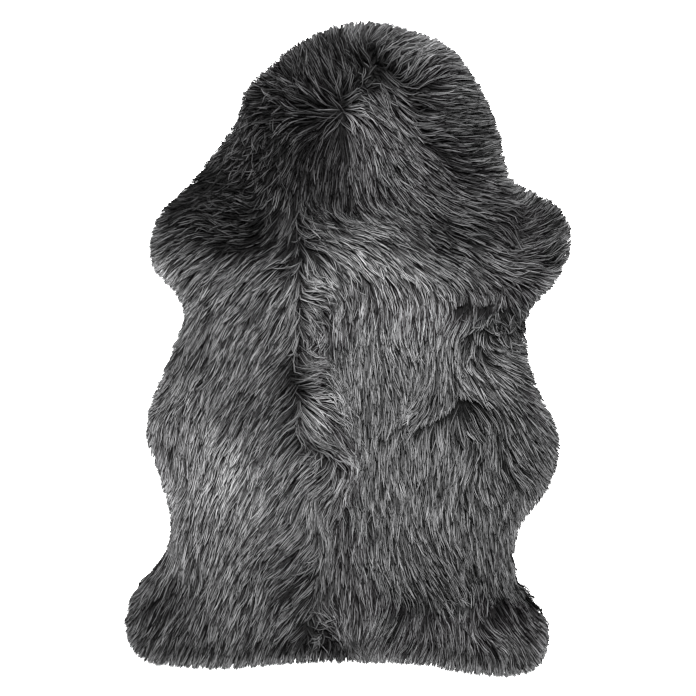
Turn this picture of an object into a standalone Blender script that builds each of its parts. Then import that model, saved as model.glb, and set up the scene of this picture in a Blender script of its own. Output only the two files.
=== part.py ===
"""Lambskin rug: one long-woolled hide, laid flat with its wool side up.

The hide and the wool that grows on it are one piece, so the rug is one solid: a slab that is flat underneath,
lumpy on top where the wool lies over itself, and ends all round in locks of wool that lie on the floor.
+Y runs to the neck, +X to the right fore leg and +Z up. The origin is on the floor, under the rug's middle.
"""

import math
from typing import NamedTuple

import bmesh
import bpy
import numpy as np
from mathutils.geometry import delaunay_2d_cdt
from mathutils.noise import noise

MM = 0.001

# Driving sizes, in metres
RIM_HEIGHT = 0.012  # the wool over the hide's edge, where the rim locks leave it
WOOL_HEIGHT = 0.040  # the wool as it lies in the middle of the rug
SHOULDER = 0.052  # the way in from the rim in which the wool rises to that height
LOCK_COUNT = 216
LOCK_REACH = 0.0115  # from the rim to a lock's tip, on average
LOCK_SPREAD = 0.0040  # how far a lock may be longer or shorter than that
LOCK_ROOT_SHARE = 0.76  # of the rim. The rest is the gaps between the locks
FALL_SHARE = 0.55  # how much of a lock's lie is the wool's fall to the rump, beside its way outwards
FALL_STARTS = 0.330  # how far up the rug that fall begins: the neck's wool lies outwards only
FALL_ENDS = 0.100  # how far up it is whole
HEADING_JITTER = math.radians(7)
FACET = 0.0145  # between the points of the wool's top
GRID_CLEARANCE = 0.6 * FACET  # between the innermost loop of points and the grid that fills the rest
TUFT_WIDTH, TUFT_LENGTH = 0.030, 0.062  # the locks that lump together on top, across and along the rug
TUFT_RISE = 0.0042
EDGE_STEPS = 12  # in the edge's curve, from one station to the next
DIRECTION_STEP = 0.006  # how far along the edge, either way, its direction is read
SAME_POINT = 1e-7
FILL_INSIDE = 1  # the triangulation keeps only what is inside the closed line
SEED = 11


class LockSection(NamedTuple):
    """A cross-section of a lock, as shares of its reach, of its root's width and of the rim's height."""

    reach: float
    width: float
    height: float


class PointLoop(NamedTuple):
    """A loop of points that follows the rim, in metres: its way in from there, and the points' spacing."""

    way_in: float
    spacing: float


class Station(NamedTuple):
    """A point that the edge of the wool passes through, in millimetres from the rug's middle."""

    right: float
    forward: float


class Crease(NamedTuple):
    """A parting (rise under 0) or a ridge of wool, along a straight run, in millimetres."""

    right: float
    forward: float
    right_end: float
    forward_end: float
    half_width: float
    rise: float


class Lump(NamedTuple):
    """A round swelling of the wool, or a hollow (rise under 0), in millimetres."""

    right: float
    forward: float
    radius: float
    rise: float


LOCK_SECTIONS = [
    LockSection(0.55, 0.84, 0.62),
    LockSection(1.00, 0.26, 0.22),
]
POINT_LOOPS = [
    PointLoop(0.010, 0.0135),
    PointLoop(0.024, FACET),
]

NECK_RIGHT = [
    Station(6, 473),
    Station(58, 471),
    Station(100, 459),
    Station(143, 440),
    Station(170, 413),
    Station(200, 363),
    Station(220, 311),
    Station(228, 272),
]
RIGHT_FORE_LEG = [
    Station(240, 241),
    Station(275, 224),
    Station(305, 205),
    Station(321, 178),
    Station(323, 150),
    Station(317, 124),
    Station(300, 94),
    Station(277, 70),
    Station(262, 50),
]
RIGHT_FLANK = [
    Station(259, 12),
    Station(265, -30),
    Station(284, -77),
    Station(302, -113),
    Station(307, -142),
    Station(301, -174),
    Station(285, -212),
    Station(262, -240),
]
RIGHT_HIND_LEG = [
    Station(247, -267),
    Station(241, -296),
    Station(246, -326),
    Station(262, -350),
    Station(280, -375),
    Station(291, -405),
    Station(289, -435),
    Station(276, -461),
    Station(248, -474),
]
RUMP = [
    Station(200, -474),
    Station(155, -468),
    Station(118, -460),
    Station(66, -456),
    Station(-40, -455),
    Station(-100, -458),
    Station(-176, -464),
    Station(-240, -462),
    Station(-285, -456),
]
LEFT_HIND_LEG = [
    Station(-311, -437),
    Station(-323, -404),
    Station(-316, -366),
    Station(-298, -330),
    Station(-276, -304),
    Station(-260, -278),
    Station(-257, -248),
]
LEFT_FLANK = [
    Station(-264, -215),
    Station(-278, -172),
    Station(-291, -136),
    Station(-293, -106),
    Station(-283, -72),
    Station(-263, -24),
    Station(-247, 20),
    Station(-237, 44),
]
LEFT_FORE_LEG = [
    Station(-242, 66),
    Station(-258, 90),
    Station(-280, 113),
    Station(-287, 138),
    Station(-284, 170),
    Station(-268, 202),
    Station(-238, 228),
    Station(-218, 252),
]
NECK_LEFT = [
    Station(-193, 286),
    Station(-165, 325),
    Station(-152, 368),
    Station(-126, 400),
    Station(-82, 436),
    Station(-34, 462),
]
EDGE = (
    NECK_RIGHT
    + RIGHT_FORE_LEG
    + RIGHT_FLANK
    + RIGHT_HIND_LEG
    + RUMP
    + LEFT_HIND_LEG
    + LEFT_FLANK
    + LEFT_FORE_LEG
    + NECK_LEFT
)

BACK_PARTING = [
    Crease(-72, 178, -80, 70, 15, -9),
    Crease(-80, 70, -71, 4, 12, -8),
    Crease(-71, 4, -74, -68, 15, -10),
    Crease(-74, -68, -62, -122, 13, -9),
    Crease(-44, -192, -41, -279, 14, -7),
    Crease(-41, -279, -52, -366, 16, -8),
    Crease(-52, -366, -30, -430, 16, -9),
]
CREASES = BACK_PARTING + [
    Crease(-62, -122, -24, -141, 11, -16),  # the notch in the back, where two swirls of wool meet
    Crease(-16, 402, -10, 334, 11, -7),  # the crown's parting, down to its whorl
    Crease(-4, 433, 68, 384, 14, -10),  # the split across the crown
    Crease(-72, 330, -10, 334, 14, -6),
    Crease(112, -100, 166, -74, 10, -13),  # the gap under the right flank's overhanging wool
    Crease(264, 218, 249, 158, 9, -7),  # where the right fore leg's wool turns over
    Crease(178, 72, 232, 48, 13, -9),
    Crease(-288, 205, -215, 160, 20, -5),
    Crease(-240, 145, -90, 150, 18, -6),  # the step from the dark shoulder to the flank
    Crease(-215, 60, -120, 110, 22, 5),
    Crease(130, -60, 205, -62, 16, 6),  # the wool that hangs over that gap
    Crease(20, 170, 150, 115, 26, 5),  # the roll of wool across the shoulders
]
LUMPS = [
    Lump(-70, 392, 38, 4),
    Lump(112, 398, 42, 5),
    Lump(22, 262, 48, 5),
    Lump(140, 290, 45, -4),
    Lump(-164, 212, 52, -5),
    Lump(-34, 92, 30, 6),
    Lump(-30, -84, 32, 7),
    Lump(-172, 10, 58, 4),
    Lump(100, 20, 70, 4),
    Lump(278, 152, 30, 4),
    Lump(176, -100, 24, -6),
    Lump(232, -150, 48, 4),
    Lump(-215, -150, 55, 4),
    Lump(0, -230, 40, 4),
    Lump(120, -230, 70, 4),
    Lump(-130, -300, 60, 4),
    Lump(-250, -368, 32, -5),
    Lump(-258, -420, 34, 4),
    Lump(-4, -440, 26, -6),
    Lump(110, -368, 32, -6),
    Lump(200, -362, 16, -8),
    Lump(258, -366, 14, -8),
    Lump(232, -425, 40, 4),
]

WOOL_COLOUR = (0.085, 0.085, 0.087, 1.0)
WOOL_ROUGHNESS = 0.92
SMOOTH_UP_TO = math.radians(50)


def clear_scene():
    for thing in list(bpy.data.objects):
        bpy.data.objects.remove(thing)


def edge_curve(stations):
    """The closed smooth curve through the stations, in metres: a Catmull-Rom span from each to the next."""
    knots = np.array(stations, float) * MM
    before, here, after, beyond = (np.roll(knots, shift, axis=0) for shift in (1, 0, -1, -2))
    t = np.linspace(0, 1, EDGE_STEPS, endpoint=False)[:, None, None]
    curve = 0.5 * (
        2 * here
        + (after - before) * t
        + (2 * before - 5 * here + 4 * after - beyond) * t**2
        + (3 * here - before - 3 * after + beyond) * t**3
    )
    return curve.transpose(1, 0, 2).reshape(-1, 2)


def along_loop(loop, places):
    """The points of a closed line at these shares of its length, and the line's outward direction at each."""
    ring = np.vstack([loop, loop[:1]])
    lengths = np.linalg.norm(np.diff(ring, axis=0), axis=1)
    travelled = np.concatenate([[0], np.cumsum(lengths)])

    def point_at(way):
        way = way % travelled[-1]
        return np.stack([np.interp(way, travelled, ring[:, k]) for k in (0, 1)], axis=1)

    at = np.asarray(places) * travelled[-1]
    run = point_at(at + DIRECTION_STEP) - point_at(at - DIRECTION_STEP)
    outward = np.stack([-run[:, 1], run[:, 0]], axis=1)
    return point_at(at), outward / np.linalg.norm(outward, axis=1, keepdims=True)


def loop_length(loop):
    return np.linalg.norm(loop - np.roll(loop, -1, axis=0), axis=1).sum()


def distance_to_run(points, start, end):
    """How far each point is from the straight run between start and end."""
    run = end - start
    share = np.clip(((points - start) @ run) / (run @ run), 0, 1)
    return np.linalg.norm(points - start - share[:, None] * run, axis=1)


def distance_to_loop(points, loop):
    """How far each point is from a closed line."""
    nearest = np.full(len(points), np.inf)
    for start, end in zip(loop, np.roll(loop, -1, axis=0), strict=True):
        nearest = np.minimum(nearest, distance_to_run(points, start, end))
    return nearest


def inside_loop(points, loop):
    """Whether each point is inside a closed line: a ray to the right crosses it an odd number of times."""
    inside = np.zeros(len(points), bool)
    for (x0, y0), (x1, y1) in zip(loop, np.roll(loop, -1, axis=0), strict=True):
        spans = (y0 > points[:, 1]) != (y1 > points[:, 1])
        with np.errstate(divide="ignore", invalid="ignore"):
            crossing = x0 + (points[:, 1] - y0) * (x1 - x0) / (y1 - y0)
        inside ^= spans & (points[:, 0] < crossing)
    return inside


def relief(points):
    """How far partings, ridges, lumps and hollows lift the wool. Of creases that meet, the deepest counts."""
    trough = np.zeros(len(points))
    ridge = np.zeros(len(points))
    for crease in CREASES:
        start = np.array([crease.right, crease.forward]) * MM
        end = np.array([crease.right_end, crease.forward_end]) * MM
        away = distance_to_run(points, start, end) / (crease.half_width * MM)
        height = crease.rise * MM * np.exp(-(away**2))
        trough = np.minimum(trough, height)
        ridge = np.maximum(ridge, height)
    total = trough + ridge
    for lump in LUMPS:
        away = np.linalg.norm(points - np.array([lump.right, lump.forward]) * MM, axis=1) / (lump.radius * MM)
        total += lump.rise * MM * np.exp(-(away**2))
    return total


def tufts(points):
    """The uneven lumps that the locks make as they lie over each other, longer along the rug than across."""
    lumps = [noise((x / TUFT_WIDTH, y / TUFT_LENGTH, 0.0)) for x, y in points]
    return TUFT_RISE * np.array(lumps)


def wool_top(points, rim):
    """The wool's height: it rises from the rim in a quarter of an ellipse. The relief fades in with it."""
    way_in = np.clip(distance_to_loop(points, rim) / SHOULDER, 0, 1)
    rise = np.sqrt(1 - (1 - way_in) ** 2)
    lift = relief(points) + tufts(points)
    return RIM_HEIGHT + (WOOL_HEIGHT - RIM_HEIGHT) * rise + lift * way_in


def rim_points(edge):
    """The rim, a lock's reach inside the wool's edge: each lock's two root points and their outward ways."""
    starts = np.arange(LOCK_COUNT) / LOCK_COUNT
    ends = starts + LOCK_ROOT_SHARE / LOCK_COUNT
    places = np.stack([starts, ends], axis=1).ravel()
    points, outward = along_loop(edge, places)
    return points - outward * LOCK_REACH, outward


def top_points(rim, edge):
    """The corners of the wool's facets: the loops inside the rim, then an even triangular grid."""
    loops = []
    for loop in POINT_LOOPS:
        count = round(loop_length(edge) / loop.spacing)
        points, outward = along_loop(edge, np.arange(count) / count)
        loops.append(points - outward * (LOCK_REACH + loop.way_in))
    row_gap = FACET * math.sqrt(3) / 2
    low, high = rim.min(axis=0), rim.max(axis=0)
    rows = np.arange(low[1], high[1], row_gap)
    grid = [
        (x, y)
        for number, y in enumerate(rows)
        for x in np.arange(low[0] + (number % 2) * FACET / 2, high[0], FACET)
    ]
    grid = np.array(grid)
    deep = inside_loop(grid, rim) & (distance_to_loop(grid, rim) > POINT_LOOPS[-1].way_in + GRID_CLEARANCE)
    return np.vstack([*loops, grid[deep]])


def triangulated(loop, inner):
    """The triangles that fill a closed line, with corners at the inner points too, counted after the loop."""
    places = np.vstack([loop, inner])
    count = len(loop)
    edges = [(i, (i + 1) % count) for i in range(count)]
    result = delaunay_2d_cdt([tuple(p) for p in places], edges, [], FILL_INSIDE, SAME_POINT)
    faces, origins = result[2], result[3]
    return [tuple(origins[corner][0] for corner in face) for face in faces]


def lock_heading(root, outward):
    """Which way a rim lock lies: outwards, and further back on the rug also towards the rump."""
    share = np.clip((FALL_STARTS - root[1]) / (FALL_STARTS - FALL_ENDS), 0, 1)
    heading = outward + np.array([0.0, -FALL_SHARE * share])
    return heading / np.linalg.norm(heading)


def turned(direction, angle):
    """A direction on the floor, turned to the left by an angle."""
    x, y = direction
    cosine, sine = math.cos(angle), math.sin(angle)
    return np.array([cosine * x - sine * y, sine * x + cosine * y])


def add_lock(bm, root_ring, outward, rng):
    """A four-sided lock that grows from its root's four corners, narrows, and lies level to its tip."""
    corners = np.array([corner.co for corner in root_ring])
    centre = corners[:2, :2].mean(axis=0)
    width = np.linalg.norm(corners[1] - corners[0])
    heading = turned(lock_heading(centre, outward), rng.uniform(-HEADING_JITTER, HEADING_JITTER))
    across = np.array([-heading[1], heading[0]])
    if across @ (corners[1, :2] - corners[0, :2]) < 0:
        across = -across
    reach = LOCK_REACH + rng.uniform(-LOCK_SPREAD, LOCK_SPREAD)
    ring = root_ring
    for section in LOCK_SECTIONS:
        middle = centre + heading * reach * section.reach
        half = across * width * section.width / 2
        top = RIM_HEIGHT * section.height
        near, far = middle - half, middle + half
        following = [bm.verts.new((*p, z)) for p, z in ((near, 0), (far, 0), (far, top), (near, top))]
        for k in range(4):
            bm.faces.new((ring[k], ring[(k + 1) % 4], following[(k + 1) % 4], following[k]))
        ring = following
    bm.faces.new(ring)


def build_wool(bm):
    """The whole rug in one closed mesh: flat underside, faceted top, locks and the short walls between."""
    rng = np.random.default_rng(SEED)
    edge = edge_curve(EDGE)
    rim, outward = rim_points(edge)
    inner = top_points(rim, edge)
    heights = wool_top(np.vstack([rim, inner]), rim)
    heights[: len(rim)] = RIM_HEIGHT

    floor_ring = [bm.verts.new((*p, 0)) for p in rim]
    top = [bm.verts.new((*p, z)) for p, z in zip(np.vstack([rim, inner]), heights, strict=True)]
    for corners in triangulated(rim, inner):
        bm.faces.new([top[i] for i in corners])
    for corners in triangulated(rim, np.empty((0, 2))):
        bm.faces.new([floor_ring[i] for i in reversed(corners)])
    for lock in range(LOCK_COUNT):
        start, end = 2 * lock, 2 * lock + 1
        after = (end + 1) % len(rim)
        root_ring = [floor_ring[start], floor_ring[end], top[end], top[start]]
        add_lock(bm, root_ring, outward[start] + outward[end], rng)
        bm.faces.new((floor_ring[end], floor_ring[after], top[after], top[end]))
    bmesh.ops.recalc_face_normals(bm, faces=bm.faces)


def centre_on_floor(bm):
    """Moves the mesh sideways so that the origin is under the middle of its box."""
    places = np.array([v.co for v in bm.verts])
    middle = (places.min(axis=0) + places.max(axis=0)) / 2
    bmesh.ops.translate(bm, verts=bm.verts, vec=(-middle[0], -middle[1], 0))


def wool_material():
    material = bpy.data.materials.new("charcoal_wool")
    material.use_nodes = True
    shader = material.node_tree.nodes["Principled BSDF"]
    shader.inputs["Base Color"].default_value = WOOL_COLOUR
    shader.inputs["Roughness"].default_value = WOOL_ROUGHNESS
    return material


def make_lambskin():
    mesh = bpy.data.meshes.new("lambskin")
    bm = bmesh.new()
    build_wool(bm)
    centre_on_floor(bm)
    bm.to_mesh(mesh)
    bm.free()
    mesh.shade_smooth()
    mesh.set_sharp_from_angle(angle=SMOOTH_UP_TO)
    mesh.materials.append(wool_material())
    lambskin = bpy.data.objects.new("lambskin", mesh)
    bpy.context.scene.collection.objects.link(lambskin)
    return lambskin


clear_scene()
make_lambskin()
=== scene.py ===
"""Lambskin rug: the looks of one long-woolled hide that lies flat with its wool side up.

Metres, +Z up and +Y to the neck. The tables are in millimetres from the middle of the wool as it is seen from
above, with headings in degrees: 0 is to the right, 90 to the neck and 270 to the rump.
"""

import math
from typing import NamedTuple

import bmesh
import bpy
import numpy as np
from mathutils.geometry import delaunay_2d_cdt
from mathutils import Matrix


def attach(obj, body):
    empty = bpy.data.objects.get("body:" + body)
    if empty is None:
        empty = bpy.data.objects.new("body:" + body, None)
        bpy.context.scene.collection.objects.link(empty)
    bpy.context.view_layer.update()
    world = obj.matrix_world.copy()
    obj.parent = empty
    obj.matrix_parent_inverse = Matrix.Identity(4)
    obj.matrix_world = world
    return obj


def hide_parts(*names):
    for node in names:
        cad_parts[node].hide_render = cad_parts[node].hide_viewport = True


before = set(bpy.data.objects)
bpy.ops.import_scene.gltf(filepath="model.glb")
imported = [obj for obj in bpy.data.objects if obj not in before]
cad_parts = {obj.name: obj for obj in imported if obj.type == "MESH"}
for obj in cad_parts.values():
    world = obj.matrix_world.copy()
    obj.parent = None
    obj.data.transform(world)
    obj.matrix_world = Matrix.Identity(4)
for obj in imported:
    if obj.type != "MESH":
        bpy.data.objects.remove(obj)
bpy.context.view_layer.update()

# The hide. It is one lamb's skin, tanned and trimmed to its natural outline: a thin suede sheet that lies
# on the floor. The wool grows from it and overhangs its edge all round, so from above none of it shows.
MM = 0.001
TABLE_ORIGIN = np.array([-0.0009, 0.0001])  # where the tables' middle is in the frame
SKIN_THICKNESS = 0.002
SKIN_INSET = 0.023  # from the wool's edge to the skin's
SKIN_GRID = 0.012
SKIN_UNEVEN = 0.00025
SKIN_WAVE = 0.05  # from one swell of the skin to the next
SKIN_COLOUR = (0.30, 0.27, 0.24, 1.0)
EDGE_STEPS = 8  # in the edge's curve, from one station to the next
NORMAL_REACH = 0.006  # on each side of a point of the edge, to find its direction there
GRID_MARGIN = 0.6  # of a grid's spacing, that its corners keep from the closed line
WAVES = 24
WAVE_SWELL = 2.4  # makes up for how much the mean of so many waves flattens them
SAME_POINT = 1e-7
FILL_INSIDE = 1  # the triangulation keeps only what is inside the closed line


class Station(NamedTuple):
    """A point that the edge of the wool passes through."""

    right: float
    forward: float


NECK_RIGHT = [
    Station(6, 473),
    Station(58, 471),
    Station(100, 459),
    Station(143, 440),
    Station(170, 413),
    Station(200, 363),
    Station(220, 311),
    Station(228, 272),
]
RIGHT_FORE_LEG = [
    Station(240, 241),
    Station(275, 224),
    Station(305, 205),
    Station(321, 178),
    Station(323, 150),
    Station(317, 124),
    Station(300, 94),
    Station(277, 70),
    Station(262, 50),
]
RIGHT_FLANK = [
    Station(259, 12),
    Station(265, -30),
    Station(284, -77),
    Station(302, -113),
    Station(307, -142),
    Station(301, -174),
    Station(285, -212),
    Station(262, -240),
]
RIGHT_HIND_LEG = [
    Station(247, -267),
    Station(241, -296),
    Station(246, -326),
    Station(262, -350),
    Station(280, -375),
    Station(291, -405),
    Station(289, -435),
    Station(276, -461),
    Station(248, -474),
]
RUMP = [
    Station(200, -474),
    Station(155, -468),
    Station(118, -460),
    Station(66, -456),
    Station(-40, -455),
    Station(-100, -458),
    Station(-176, -464),
    Station(-240, -462),
    Station(-285, -456),
]
LEFT_HIND_LEG = [
    Station(-311, -437),
    Station(-323, -404),
    Station(-316, -366),
    Station(-298, -330),
    Station(-276, -304),
    Station(-260, -278),
    Station(-257, -248),
]
LEFT_FLANK = [
    Station(-264, -215),
    Station(-278, -172),
    Station(-291, -136),
    Station(-293, -106),
    Station(-283, -72),
    Station(-263, -24),
    Station(-247, 20),
    Station(-237, 44),
]
LEFT_FORE_LEG = [
    Station(-242, 66),
    Station(-258, 90),
    Station(-280, 113),
    Station(-287, 138),
    Station(-284, 170),
    Station(-268, 202),
    Station(-238, 228),
    Station(-218, 252),
]
NECK_LEFT = [
    Station(-193, 286),
    Station(-165, 325),
    Station(-152, 368),
    Station(-126, 400),
    Station(-82, 436),
    Station(-34, 462),
]
WOOL_EDGE = (
    NECK_RIGHT
    + RIGHT_FORE_LEG
    + RIGHT_FLANK
    + RIGHT_HIND_LEG
    + RUMP
    + LEFT_HIND_LEG
    + LEFT_FLANK
    + LEFT_FORE_LEG
    + NECK_LEFT
)


def placed(table):
    """The places of a table's rows in the frame, in metres: its first two columns, scaled and shifted."""
    return np.array([row[:2] for row in table], float) * MM + TABLE_ORIGIN


def edge_curve(stations):
    """The closed smooth curve through the stations: a Catmull-Rom span from each to the next."""
    knots = placed(stations)
    before, here, after, beyond = (np.roll(knots, shift, axis=0) for shift in (1, 0, -1, -2))
    t = np.linspace(0, 1, EDGE_STEPS, endpoint=False)[:, None, None]
    curve = 0.5 * (
        2 * here
        + (after - before) * t
        + (2 * before - 5 * here + 4 * after - beyond) * t**2
        + (3 * here - before - 3 * after + beyond) * t**3
    )
    return curve.transpose(1, 0, 2).reshape(-1, 2)


def drawn_in(loop, inset, spacing):
    """A closed line moved inwards and divided evenly: its points at equal ways along, each less its outward
    normal times the inset. The normal is the line's direction over two normal reaches, turned a quarter."""
    ring = np.vstack([loop, loop[:1]])
    travelled = np.concatenate([[0], np.cumsum(np.linalg.norm(np.diff(ring, axis=0), axis=1))])
    count = round(travelled[-1] / spacing)

    def point_at(way):
        """The places on the line at each way along it, round and round."""
        way = way % travelled[-1]
        return np.stack([np.interp(way, travelled, ring[:, k]) for k in (0, 1)], axis=1)

    at = np.arange(count) / count * travelled[-1]
    run = point_at(at + NORMAL_REACH) - point_at(at - NORMAL_REACH)
    outward = np.stack([-run[:, 1], run[:, 0]], axis=1)
    outward /= np.linalg.norm(outward, axis=1, keepdims=True)
    return point_at(at) - outward * inset


def inside_distance(points, loop):
    """How far each point is inside a closed line, under 0 outside it: the least distance to its straight
    runs, signed by whether a ray to the right crosses them an odd number of times."""
    nearest = np.full(len(points), np.inf)
    inside = np.zeros(len(points), bool)
    for start, end in zip(loop, np.roll(loop, -1, axis=0), strict=True):
        run = end - start
        share = np.clip(((points - start) @ run) / (run @ run), 0, 1)
        nearest = np.minimum(nearest, np.linalg.norm(points - start - share[:, None] * run, axis=1))
        spans = (start[1] > points[:, 1]) != (end[1] > points[:, 1])
        rise = np.where(spans, end[1] - start[1], 1)
        crossing = start[0] + (points[:, 1] - start[1]) * run[0] / rise
        inside ^= spans & (points[:, 0] < crossing)
    return np.where(inside, nearest, -nearest)


def filled(loop, spacing):
    """A closed line's inside as triangles: corners on the line, then on a square grid a spacing inside it."""
    low, high = loop.min(axis=0), loop.max(axis=0)
    columns, rows = np.arange(low[0], high[0], spacing), np.arange(low[1], high[1], spacing)
    across, along = np.meshgrid(columns, rows)
    grid = np.stack([across.ravel(), along.ravel()], axis=1)
    grid = grid[inside_distance(grid, loop) > GRID_MARGIN * spacing]
    places = np.vstack([loop, grid])
    sides = [(k, (k + 1) % len(loop)) for k in range(len(loop))]
    result = delaunay_2d_cdt([tuple(p) for p in places], sides, [], FILL_INSIDE, SAME_POINT)
    corners = np.array([[result[3][corner][0] for corner in face] for face in result[2]])
    return places, corners


def add_piece(name, mesh, material):
    """A finished piece at the origin, on the rug's only body."""
    mesh.materials.append(material)
    piece = bpy.data.objects.new(name, mesh)
    bpy.context.scene.collection.objects.link(piece)
    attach(piece, "root")
    return piece


def slab(name, loop_length, places, triangles, top, bottom, material):
    """A closed sheet: the triangles at the top heights, again at the bottom heights with their order turned,
    and a wall of quads round the loop that the first points make."""
    count = len(places)
    upper = np.column_stack([places, top])
    lower = np.column_stack([places, bottom])
    here = np.arange(loop_length)
    after = (here + 1) % loop_length
    wall = np.column_stack([here, after, after + count, here + count])
    mesh = bpy.data.meshes.new(name)
    faces = [*triangles.tolist(), *(triangles[:, ::-1] + count).tolist(), *wall.tolist()]
    mesh.from_pydata(np.vstack([upper, lower]).tolist(), [], faces)
    bm = bmesh.new()
    bm.from_mesh(mesh)
    bmesh.ops.recalc_face_normals(bm, faces=bm.faces)
    bm.to_mesh(mesh)
    bm.free()
    mesh.shade_smooth()
    return add_piece(name, mesh, material)


def waves(points, length, seed):
    """A smooth uneven height from about -1 to 1: the mean of sine waves with random headings and phases, and
    lengths from 0.7 to 1.4 times the given one."""
    rng = np.random.default_rng(seed)
    heading = rng.uniform(0, 2 * math.pi, WAVES)
    pace = 2 * math.pi / (length * rng.uniform(0.7, 1.4, WAVES))
    phase = rng.uniform(0, 2 * math.pi, WAVES)
    turn = points[:, :1] * np.cos(heading) * pace + points[:, 1:2] * np.sin(heading) * pace
    return np.sin(turn + phase).mean(axis=1) * WAVE_SWELL


def add_node(tree, kind, values):
    """A new shader node of a kind, named without the prefix of the type, with the values of those of its
    inputs that keep one."""
    node = tree.nodes.new("ShaderNode" + kind)
    for socket, value in values.items():
        node.inputs[socket].default_value = value
    return node


def join(tree, *links):
    """Links in a node tree, each a node and its output, then the node and its input that the output feeds."""
    for source, output, target, socket in links:
        tree.links.new(source.outputs[output], target.inputs[socket])


def new_material(name, values):
    """A material, its node tree and its shader, with the values of the shader's inputs that keep one."""
    material = bpy.data.materials.new(name)
    material.use_nodes = True
    shader = material.node_tree.nodes["Principled BSDF"]
    for socket, value in values.items():
        shader.inputs[socket].default_value = value
    return material, material.node_tree, shader


def suede():
    """Tanned skin: a pale brown grey nap with cloudy stains and a fine grain."""
    material, tree, shader = new_material("suede_skin", {"Roughness": 0.9, "Sheen Weight": 0.25})
    place = add_node(tree, "TexCoord", {})
    cloud = add_node(tree, "TexNoise", {"Scale": 14, "Detail": 5})
    ramp = add_node(tree, "ValToRGB", {})
    ramp.color_ramp.elements[0].position = 0.35
    ramp.color_ramp.elements[0].color = tuple(0.72 * part for part in SKIN_COLOUR[:3]) + (1,)
    ramp.color_ramp.elements[1].position = 0.68
    ramp.color_ramp.elements[1].color = SKIN_COLOUR
    grain = add_node(tree, "TexNoise", {"Scale": 900})
    bump = add_node(tree, "Bump", {"Strength": 0.4, "Distance": 0.0004})
    join(
        tree,
        (place, "Object", cloud, "Vector"),
        (place, "Object", grain, "Vector"),
        (cloud, "Fac", ramp, "Fac"),
        (ramp, "Color", shader, "Base Color"),
        (grain, "Fac", bump, "Height"),
        (bump, "Normal", shader, "Normal"),
    )
    return material


edge = edge_curve(WOOL_EDGE)
skin_loop = drawn_in(edge, SKIN_INSET, SKIN_GRID)
skin_places, skin_triangles = filled(skin_loop, SKIN_GRID)
skin_bottom = SKIN_UNEVEN * (1 + waves(skin_places, SKIN_WAVE, 3)).clip(0, 2)
hide = slab(
    "hide",
    len(skin_loop),
    skin_places,
    skin_triangles,
    skin_bottom + SKIN_THICKNESS,
    skin_bottom,
    suede(),
)

# The undercoat. Between its long locks a fleece has dense short wool that hides the skin. It stands a little
# under the locks and follows every parting and swell of the coat. Its near-black colour is painted shade: the
# shadow that shows deep between the locks.
GRID = 0.005  # of the maps below
HEIGHT_BLUR = 0.008
COAT_DEPTH = 0.009  # from the top of the long wool down to the undercoat
UNDERCOAT_INSET = 0.006
UNDERCOAT_GRID = 0.006
UNDERCOAT_LUMPS = 0.0012
LUMP_LENGTH = 0.016
UNDERCOAT_FLOOR = 0.0026  # its underside's height
UNDERCOAT_LEAST = 0.001  # its least thickness
MAP_MARGIN = 0.02  # of the maps, round the wool's edge
POINTS_AT_ONCE = 2000
# Near black: painted shade, the shadow deep between the locks.
UNDERCOAT_SHADE_COLOUR = (0.003, 0.003, 0.003)


class Map(NamedTuple):
    """Values on a square grid: the lowest corner's place, and the values by row (+Y) and column (+X)."""

    low: np.ndarray
    values: np.ndarray

    def at(self, points):
        """The value at each point: its four neighbours' mean, each weighed by its nearness along X and Y."""
        place = (points - self.low) / GRID
        rows, columns = self.values.shape[:2]
        x = place[..., 0].clip(0, columns - 1.001)
        y = place[..., 1].clip(0, rows - 1.001)
        column, row = x.astype(int), y.astype(int)
        x, y = x - column, y - row
        if self.values.ndim == 3:
            x, y = x[..., None], y[..., None]
        near = self.values[row, column] * (1 - x) + self.values[row, column + 1] * x
        far = self.values[row + 1, column] * (1 - x) + self.values[row + 1, column + 1] * x
        return near * (1 - y) + far * y


map_low = edge.min(axis=0) - MAP_MARGIN
map_columns, map_rows = np.ceil((np.ptp(edge, axis=0) + 2 * MAP_MARGIN) / GRID).astype(int) + 1
map_x, map_y = np.meshgrid(
    map_low[0] + GRID * np.arange(map_columns),
    map_low[1] + GRID * np.arange(map_rows),
)
map_points = np.stack([map_x.ravel(), map_y.ravel()], axis=1)


def mapped(values):
    """A map of values that are in the order of the map's points."""
    return Map(map_low, values.reshape(map_rows, map_columns, *values.shape[1:]))


def wool_heights(points):
    """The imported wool's height at each point: the mean of its solid's upper corners, each weighed by a bell
    curve of its distance."""
    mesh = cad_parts["lambskin"].data
    places = np.zeros(len(mesh.vertices) * 3, np.float32)
    mesh.vertices.foreach_get("co", places)
    places = np.unique(places.reshape(-1, 3).round(5), axis=0)
    places = places[places[:, 2] > MM]
    heights = np.zeros(len(points))
    for start in range(0, len(points), POINTS_AT_ONCE):
        part = points[start : start + POINTS_AT_ONCE]
        away = ((part[:, None] - places[None, :, :2]) ** 2).sum(axis=2)
        away -= away.min(axis=1, keepdims=True)
        weight = np.exp(-away / (2 * HEIGHT_BLUR**2))
        heights[start : start + len(part)] = (weight * places[:, 2]).sum(axis=1) / weight.sum(axis=1)
    return heights


way_in = mapped(inside_distance(map_points, edge))
wool_top = mapped(wool_heights(map_points))


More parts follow.
